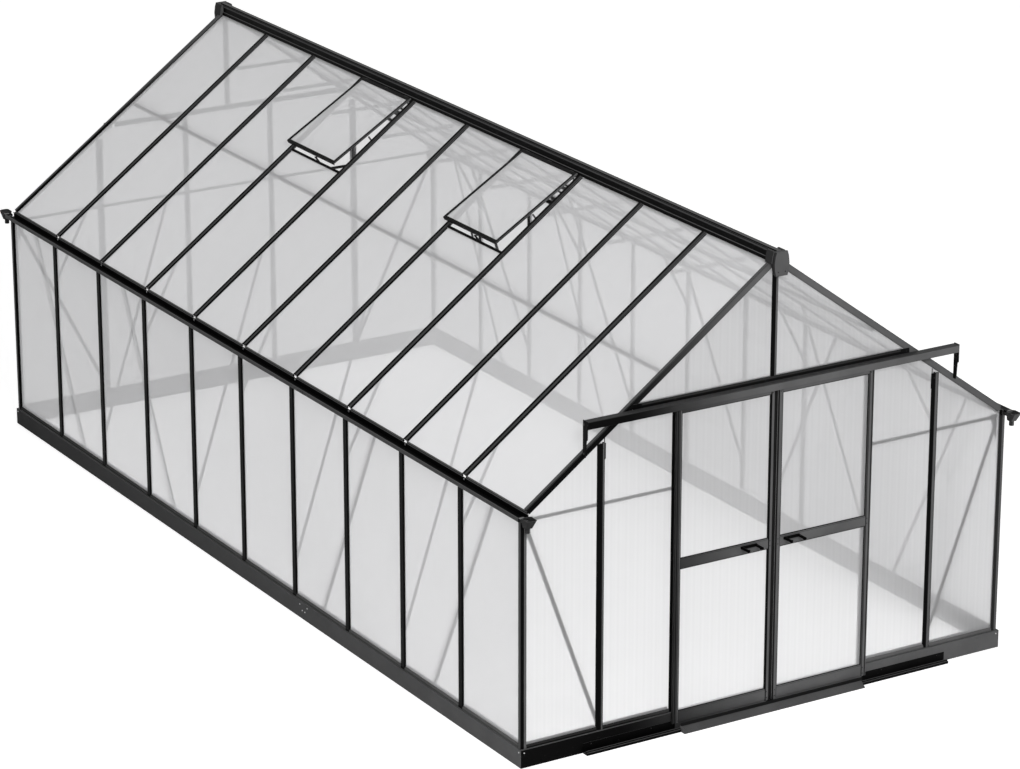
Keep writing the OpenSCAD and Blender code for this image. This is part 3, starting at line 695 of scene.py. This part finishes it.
def addGutterFittings():
    low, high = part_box("gutters")
    heads, splices, screws = bmesh.new(), bmesh.new(), bmesh.new()
    y, z = bayLine(gutterFit["jointLine"]), low.z + gutterFit["jointUp"]
    outline = roundPlate(gutterFit["plateHigh"], gutterFit["plateLong"], gutterFit["plateCorner"])
    for side in sides:
        for i in range(1, house["bays"]):
            boltY = bayLine(i) - gutterFit["boltAside"]
            hexBolt(heads, (side * gutterFit["innerFace"], boltY, gutterFit["boltHeight"]), (side, 0, 0))
        spin = Matrix.Rotation(side * math.pi / 2, 4, "Y")
        slab(splices, outline, gutterFit["plateThick"], Matrix.Translation((side * high.x, y, z)) @ spin)
        for step in gutterFit["screws"]:
            panScrew(screws, (side * (high.x + gutterFit["screwOut"]), y + step, z), (side, 0, 0))
    piece("gutterBolts", heads, zinc)
    piece("gutterSplices", splices, gutterCoat)
    piece("gutterSpliceScrews", screws, blackScrew)


outletRim = {
    "middle": 1.537,
    "height": 1.395,
    "wide": 0.060,
    "long": 0.070,
    "inset": 0.003,           # what the bead's middle line is smaller by
    "corner": 0.016,
    "cornerSteps": 5,
    "bead": 0.0022,
    "beadSides": 8,
}


def addOutletRims():
    low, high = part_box("gutter_outlets")
    path = roundPlate(outletRim["wide"] - outletRim["inset"], outletRim["long"] - outletRim["inset"],
                      outletRim["corner"], outletRim["cornerSteps"])
    turns = [2 * math.pi / outletRim["beadSides"] * k for k in range(outletRim["beadSides"])]
    bm = bmesh.new()
    for side in sides:
        for y in (low.y + outletRim["long"] / 2, high.y - outletRim["long"] / 2):
            loops = []
            for px, py in path:
                out = Vector((px, py, 0)).normalized()
                middle = Vector((side * outletRim["middle"] + px, y + py, outletRim["height"]))
                ring = [out * math.cos(a) + Vector((0, 0, math.sin(a))) for a in turns]
                loops.append([bm.verts.new(middle + way * outletRim["bead"]) for way in ring])
            joinLoops(bm, loops, closed=True)
    piece("outletRims", bm, plasticCoat)


flap = {
    "x": 1.551,
    "y": 3.0925,
    "z": 1.3905,
    "wide": 0.030,
    "long": 0.021,
    "corner": 0.004,
    "thick": 0.0016,
}


def addOutletFlaps():
    outline = roundPlate(flap["wide"], flap["long"], flap["corner"])
    bm = bmesh.new()
    for side in sides:
        for out in (-1, 1):
            place = Matrix.Translation((side * flap["x"], out * flap["y"], flap["z"]))
            slab(bm, outline, flap["thick"], place)
    piece("outletFlaps", bm, bareEdge)


closer = {
    "sheetEnd": 1.863,        # down the slope
    "gap": 0.0005,
    "profile": [(0.002, 0.0002), (0.002, 0.0014), (-0.0075, 0.0014), (-0.009, -0.0005), (-0.009, -0.010),
                (-0.0005, -0.010), (-0.0005, 0.0002)],
}


def addEaveClosers():
    aside = halfBar + closer["gap"]
    for side in sides:
        bm = bmesh.new()
        for i in range(house["bays"]):
            first = bayLine(i) + aside if i else frontFace + closer["gap"]
            last = bayLine(i + 1) - aside if i < house["bays"] - 1 else rearFace - closer["gap"]
            ends = [onRoof(side, closer["sheetEnd"], y, -house["sheetIn"]) for y in (first, last)]
            strip(bm, *ends[::-side], roofNormal(side), closer["profile"])    # minus is down the slope
        piece("eaveClosers" + sideLetter[side], bm, gutterCoat)


addGutterFittings()
addOutletRims()
addOutletFlaps()
addEaveClosers()
print("gutter fittings made")

baseFit = {
    "cornerStep": 0.02,
    "height": 0.084,
    "joint": ((-0.698, 0.081), (-0.783, 0.082), (-0.725, 0.050), (-0.756, 0.050)),    # where lengths meet
}


def addBaseFittings():
    low = Vector((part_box("base_left")[0].x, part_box("base_front")[0].y, 0))
    high = Vector((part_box("base_right")[1].x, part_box("base_rear")[1].y, 0))
    step, z = baseFit["cornerStep"], baseFit["height"]
    bm = bmesh.new()
    for side in sides:
        for y in (low.y + step, high.y - step):
            panScrew(bm, (side * high.x, y, z), (side, 0, 0), scale=1.0)
        for y, out in ((low.y, -1), (high.y, 1)):
            panScrew(bm, (side * (high.x - step), y, z), (0, out, 0), scale=1.0)
        for y, jointZ in baseFit["joint"]:
            panScrew(bm, (side * high.x, y, jointZ), (side, 0, 0))
    piece("baseScrews", bm, zinc)


braceFit = {
    "wallIn": 0.0235,         # in from the posts' outer faces
    "wallAside": 0.006,
    "upper": 1.130,           # height at every other post, from the first
    "lower": 0.321,           # and at the posts between
    "gableIn": 0.0225,
    "gable": ((1.475, 1.292, 0.0075), (1.47, 1.352, 0.0075), (1.04, 0.112, 0.0075), (1.04, 1.352, 0.003)),
}


def addBraceBolts():
    inner = house["halfWidth"] - braceFit["wallIn"]
    bm = bmesh.new()
    for side in sides:
        for i in range(1, house["bays"]):
            z = braceFit["upper"] if i % 2 else braceFit["lower"]
            hexBolt(bm, (side * inner, bayLine(i) + braceFit["wallAside"], z), (0, 1, 0))
        for y, out in ((frontFace + braceFit["gableIn"], 1), (rearFace - braceFit["gableIn"], -1)):
            for x, z, proud in braceFit["gable"]:
                hexBolt(bm, (side * x, y + out * proud, z), (0, out, 0))
    piece("braceBolts", bm, zinc)


addBaseFittings()
addBraceBolts()
print("base and brace fittings made")

leafFit = {
    "stile": 0.034,
    "foot": (0.044, 0.112),   # heights of the lower and upper edge
    "mid": (0.916, 0.973),
    "head": (1.776, 1.808),
    "screwInset": 0.0215,
    "sheetIn": 0.006,
}


def addLeafFittings(name):
    low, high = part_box(name + "_leaf_frame")
    screws = bmesh.new()
    for x in (low.x + leafFit["screwInset"], high.x - leafFit["screwInset"]):
        for bottom, top in (leafFit["foot"], leafFit["mid"], leafFit["head"]):
            quarter = (top - bottom) / 4
            for z in (bottom + quarter, top - quarter):
                panScrew(screws, (x, low.y + screw["sunk"], z), (0, -1, 0), scale=0.8)
    piece(name + "LeafScrews", screws, blackScrew, "door_" + name)

    seals = bmesh.new()
    y, inset = low.y + leafFit["sheetIn"], seal["wide"] / 2
    left, right = low.x + leafFit["stile"] + inset, high.x - leafFit["stile"] - inset
    for bottom, top in ((leafFit["foot"][1], leafFit["mid"][0]), (leafFit["mid"][1], leafFit["head"][0])):
        for x in (left, right):
            strip(seals, (x, y, bottom), (x, y, top), (0, -1, 0), sealProfile)
        for z in (bottom + inset, top - inset):
            strip(seals, (left, y, z), (right, y, z), (0, -1, 0), sealProfile)
    piece(name + "LeafSeals", seals, rubber, "door_" + name)


grip = {
    "radius": 0.0085,
    "over": 0.001,            # how far the sleeve reaches past the bar
    "tip": ((0.5, 0), (0.9, 0.002), (1, 0.006)),      # share of the radius, distance from the end
    "arm": 0.0075,
    "armInset": 0.006,
    "armTip": (0.7, 0.003),
    "sides": 20,
}


def addGrip(name):
    low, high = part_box(name + "_leaf_handle")
    bm = bmesh.new()
    r, y, z = grip["radius"], high.y - grip["radius"], (low.z + high.z) / 2
    long = high.x - low.x + 2 * grip["over"]
    rings = [(r * share, along) for share, along in grip["tip"]]
    rings += [(r * share, long - along) for share, along in grip["tip"][::-1]]
    lathe(bm, rings, grip["sides"], facing((low.x - grip["over"], y, z), (1, 0, 0)))
    arm, reach = grip["arm"], y - low.y + grip["over"]
    share, back = grip["armTip"]
    for x in (low.x + grip["armInset"], high.x - grip["armInset"]):
        lathe(bm, [(arm, 0), (arm, reach - back), (arm * share, reach)], grip["sides"],
              facing((x, y, z), (0, -1, 0)))
    piece(name + "GripSleeve", bm, gripCoat, "door_" + name)


meeting = {
    "left": -0.0045,          # middles of the strips, from each leaf's inner edge
    "right": 0.0065,
    "wide": 0.008,
    "thick": 0.0012,
    "lip": 0.0013,
    "lipWide": 0.002,
    "lipThick": 0.001,
    "endGap": 0.002,
}


def addMeetingStrip(name, leaf, place, wide, thick, material):
    low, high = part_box(leaf + "_leaf_frame")
    x = (high.x if leaf == "left" else low.x) + place
    bottom, top = leafFit["foot"][0] + meeting["endGap"], leafFit["head"][1] - meeting["endGap"]
    profile = [(-wide / 2, 0), (-wide / 2, thick * 0.6), (-wide / 3, thick), (wide / 3, thick),
               (wide / 2, thick * 0.6), (wide / 2, 0)]
    bm = bmesh.new()
    strip(bm, (x, low.y, bottom), (x, low.y, top), (0, -1, 0), profile)
    piece(name, bm, material, "door_" + leaf)


def addMeetingStrips():
    for leaf in ("left", "right"):
        addMeetingStrip(leaf + "MeetingStrip", leaf, meeting[leaf], meeting["wide"], meeting["thick"],
                        rubber)
    addMeetingStrip("rightMeetingLip", "right", meeting["lip"], meeting["lipWide"], meeting["lipThick"],
                    bareEdge)


headerPlate = {
    "x": 0.845,
    "frontHeight": 1.842,
    "rearHeight": 1.866,
    "wide": 0.056,
    "high": 0.044,
    "corner": 0.004,
    "thick": 0.0015,
}


def addHeaderPlates():
    outline = roundPlate(headerPlate["wide"], headerPlate["high"], headerPlate["corner"])
    bm = bmesh.new()
    gables = ((frontFace, headerPlate["frontHeight"], -1), (rearFace, headerPlate["rearHeight"], 1))
    for side in sides:
        for y, z, out in gables:
            spin = Matrix.Rotation(math.pi / 2 * -out, 4, "X")
            place = Matrix.Translation((side * headerPlate["x"], y, z)) @ spin
            slab(bm, outline, headerPlate["thick"], place)
    piece("headerPlates", bm, headerCoat)


railFit = {
    "railScrews": (0.06, 9),  # distance from the ends, and number
    "railBack": 0.008,        # forward of the rail's rear edge
    "dropBolts": (0.02, 0.022),       # above the lower end, below the upper end
    "dropBack": 0.012,
    "trackScrews": (0.05, 7),
    "trackBack": 0.0016,
    "trackHeight": 0.043,
    "rampScrews": (0.09, 4),
    "rampBack": 0.0065,
}


def addRailFittings():
    low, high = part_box("door_rail")
    bm = bmesh.new()
    for x in spread(low.x, high.x, *railFit["railScrews"]):
        panScrew(bm, (x, high.y - railFit["railBack"], high.z), (0, 0, 1))
    low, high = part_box("rail_drops")
    above, below = railFit["dropBolts"]
    for side in sides:
        for z in (low.z + above, high.z - below):
            hexBolt(bm, (side * high.x, high.y - railFit["dropBack"], z), (side, 0, 0))
    low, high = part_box("door_track")
    for x in spread(low.x, high.x, *railFit["trackScrews"]):
        spot = (x, high.y - railFit["trackBack"], railFit["trackHeight"])
        panScrew(bm, spot, (0, -1, 0), scale=0.8)
    low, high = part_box("threshold_ramp")
    for x in spread(low.x, high.x, *railFit["rampScrews"]):
        panScrew(bm, (x, high.y - railFit["rampBack"], high.z), (0, 0, 1))
    piece("railScrews", bm, blackScrew)


ramp = {
    "run": 0.041,             # length and height of the sloping face
    "rise": 0.030,
    "foot": 0.001,            # height at its front edge
    "ribs": 7,
    "ribsBefore": 0.7,        # room before the first rib and in all, in rib spacings
    "ribsSpare": 0.4,
    "ribEnd": 0.004,
    "ribProfile": [(-0.0016, -0.0004), (-0.001, 0.0012), (0.001, 0.0012), (0.0016, -0.0004)],
}


def addRampRibs():
    low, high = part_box("threshold_ramp")
    bm = bmesh.new()
    up = Vector((0, -ramp["rise"], ramp["run"])).normalized()
    for k in range(ramp["ribs"]):
        share = (k + ramp["ribsBefore"]) / (ramp["ribs"] + ramp["ribsSpare"])
        y, z = low.y + ramp["run"] * share, ramp["foot"] + ramp["rise"] * share
        strip(bm, (low.x + ramp["ribEnd"], y, z), (high.x - ramp["ribEnd"], y, z), up, ramp["ribProfile"])
    piece("rampRibs", bm, baseCoat)


trackEdge = {
    "middle": 0.0425,         # height
    "half": 0.0095,
    "bevel": 0.001,
    "shoulder": 0.0006,
    "thick": 0.001,
}


def addTrackEdge():
    low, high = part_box("threshold_ramp")
    y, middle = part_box("door_track")[0].y, trackEdge["middle"]
    half, shoulder, thick = trackEdge["half"], trackEdge["shoulder"], trackEdge["thick"]
    inner = half - trackEdge["bevel"]
    profile = [(-half, 0), (-half, shoulder), (-inner, thick), (inner, thick), (half, shoulder), (half, 0)]
    bm = bmesh.new()
    strip(bm, (low.x, y, middle), (high.x, y, middle), (0, -1, 0), profile)
    piece("trackEdge", bm, rubber)


addLeafFittings("left")
addLeafFittings("right")
addGrip("left")
addGrip("right")
addMeetingStrips()
addHeaderPlates()
addRailFittings()
addRampRibs()
addTrackEdge()
print("door fittings made")

vent = {
    "hinge": 0.044,           # down the slope
    "open": math.radians(5),
    "length": 0.606,
    "gap": 0.003,             # beside the roof bars
    "lift": 0.002,
    "edge": 0.012,            # width and thickness of its frame
    "sheetOut": 0.008,
    "knuckleInset": 0.05,
    "knuckleHalf": 0.018,
    "knuckleUp": 0.001,       # towards the ridge
    "knuckle": [(0.0060, 0), (0.0072, 0.001), (0.0072, 0.0115), (0.0062, 0.012), (0.0062, 0.013),
                (0.0072, 0.0135), (0.0072, 0.035), (0.0060, 0.036)],
    "knuckleSides": 18,
    "screwAside": 0.006,
    "screwEnd": 0.02,
    "catchDown": 0.632,
    "catchAlong": 0.45,       # in bays
    "catchAside": 0.011,
    "catchOut": 0.018,
    "catch": [(0.003, -0.012), (0.003, 0), (0.0075, 0.001), (0.0075, 0.006), (0.0055, 0.008)],
    "catchSides": 16,
}


def onVent(bay, down, across, out):   # a point on an open vent
    x = down * math.cos(vent["open"]) - out * math.sin(vent["open"])
    z = down * math.sin(vent["open"]) + out * math.cos(vent["open"])
    y = bayLine(bay) + halfBar + vent["gap"] + across
    return onRoof(-1, vent["hinge"] + x, y, vent["lift"] + z)


def addVentFittings():
    knuckles, screws, seals, catches = bmesh.new(), bmesh.new(), bmesh.new(), bmesh.new()
    wide = bayLength - house["barWidth"] - 2 * vent["gap"]
    inset = vent["edge"] + seal["wide"] / 2
    corners = [(inset, inset), (inset, wide - inset), (vent["length"] - inset, wide - inset),
               (vent["length"] - inset, inset)]
    for bay in house["ventBays"]:
        normal = (onVent(bay, 0, 0, 1) - onVent(bay, 0, 0, 0)).normalized()
        for across in (vent["knuckleInset"], wide / 2, wide - vent["knuckleInset"]):
            start = onVent(bay, -vent["knuckleUp"], across - vent["knuckleHalf"], vent["edge"] / 2)
            lathe(knuckles, vent["knuckle"], vent["knuckleSides"], facing(start, (0, 1, 0)))
        for across in (vent["screwAside"], wide - vent["screwAside"]):
            for down in (vent["screwEnd"], vent["length"] / 2, vent["length"] - vent["screwEnd"]):
                panScrew(screws, onVent(bay, down, across, vent["edge"]), normal, scale=0.75)
        spots = [onVent(bay, down, across, vent["sheetOut"]) for down, across in corners]
        for start, end in zip(spots, spots[1:] + spots[:1]):
            strip(seals, start, end, normal, sealProfile)
        y = bayLine(bay + vent["catchAlong"]) + vent["catchAside"]
        catch = onRoof(-1, vent["catchDown"], y, vent["catchOut"])
        lathe(catches, vent["catch"], vent["catchSides"], facing(catch, roofNormal(-1)))
    piece("ventKnuckles", knuckles, barCoat)
    piece("ventScrews", screws, blackScrew)
    piece("ventSeals", seals, rubber)
    piece("ventCatches", catches, plasticCoat)


ridgeFit = {
    "capScrewX": 0.022,
    "capScrewHeight": 2.442,
    "postPlateX": 1.048,
    "postPlateHeights": (1.66, 1.69),
    "postPlateIn": 0.0055,    # in from the gables' outer faces
    "postPlateScale": 0.6,
}


def addRidgeFittings():
    low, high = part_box("ridge_caps")
    screws = bmesh.new()
    for y, out in ((low.y, -1), (high.y, 1)):
        for x in (-ridgeFit["capScrewX"], ridgeFit["capScrewX"]):
            panScrew(screws, (x, y - out * screw["sunk"], ridgeFit["capScrewHeight"]), (0, out, 0))
    piece("capScrews", screws, blackScrew)
    heads = bmesh.new()
    for y, out in ((frontFace, -1), (rearFace, 1)):
        for side in sides:
            for z in ridgeFit["postPlateHeights"]:
                spot = (side * ridgeFit["postPlateX"], y - out * ridgeFit["postPlateIn"], z)
                hexBolt(heads, spot, (0, out, 0), ridgeFit["postPlateScale"])
    piece("postPlateBolts", heads, blackScrew)


addVentFittings()
addRidgeFittings()
print("vent and ridge fittings made")

studio = {
    "floor": 40,              # metres from the middle to each edge
    "floorDrop": 0.0005,
    "floorTone": 0.8,
    "floorLift": 0.66,        # added where the floor itself is seen
    "world": 0.42,
}
lamp = {
    "place": (-5, -14, 9),
    "aim": (0, -1, 1),
    "size": 4,
    "power": 1080,
}


def towardsEye(tree):                 # 1 on rays that show the background itself
    path = add(tree, "ShaderNodeLightPath")
    most = maths(tree, "MAXIMUM", path.outputs["Is Camera Ray"], path.outputs["Is Transmission Ray"])
    return maths(tree, "MAXIMUM", most, path.outputs["Is Glossy Ray"])


def addFloor():
    bpy.ops.mesh.primitive_plane_add(size=studio["floor"] * 2, location=(0, 0, -studio["floorDrop"]))
    ob = bpy.context.object
    ob.name = "floor"
    mat, tree = newMaterial("floorPale")
    link = tree.links.new
    out = add(tree, "ShaderNodeOutputMaterial")
    matte = add(tree, "ShaderNodeBsdfDiffuse")
    matte.inputs[0].default_value = plainGrey(studio["floorTone"])
    lift = add(tree, "ShaderNodeEmission")
    link(maths(tree, "MULTIPLY", towardsEye(tree), studio["floorLift"]), lift.inputs[1])
    both = add(tree, "ShaderNodeAddShader")
    link(matte.outputs[0], both.inputs[0])
    link(lift.outputs[0], both.inputs[1])
    link(both.outputs[0], out.inputs[0])
    ob.data.materials.append(mat)


def addWorld():
    world = bpy.data.worlds.new("studio")
    bpy.context.scene.world = world
    world.use_nodes = True
    tree = world.node_tree
    tree.nodes.clear()
    out = add(tree, "ShaderNodeOutputWorld")
    light = add(tree, "ShaderNodeBackground")
    light.inputs[1].default_value = studio["world"]
    seen = add(tree, "ShaderNodeBackground")
    for node in (light, seen):
        node.inputs[0].default_value = plainGrey(1)
    mixed = blendShaders(tree, towardsEye(tree), light.outputs[0], seen.outputs[0])
    tree.links.new(mixed, out.inputs[0])


def addLamp():
    data = bpy.data.lights.new("key", "AREA")
    data.shape = "DISK"
    data.size = lamp["size"]
    data.energy = lamp["power"]
    ob = bpy.data.objects.new("key", data)
    ob.location = lamp["place"]
    way = Vector(lamp["aim"]) - Vector(lamp["place"])
    ob.rotation_euler = way.to_track_quat("-Z", "Y").to_euler()
    bpy.context.collection.objects.link(ob)


addFloor()
addWorld()
addLamp()
bpy.context.scene.view_settings.view_transform = "Standard"
print("floor and light set")
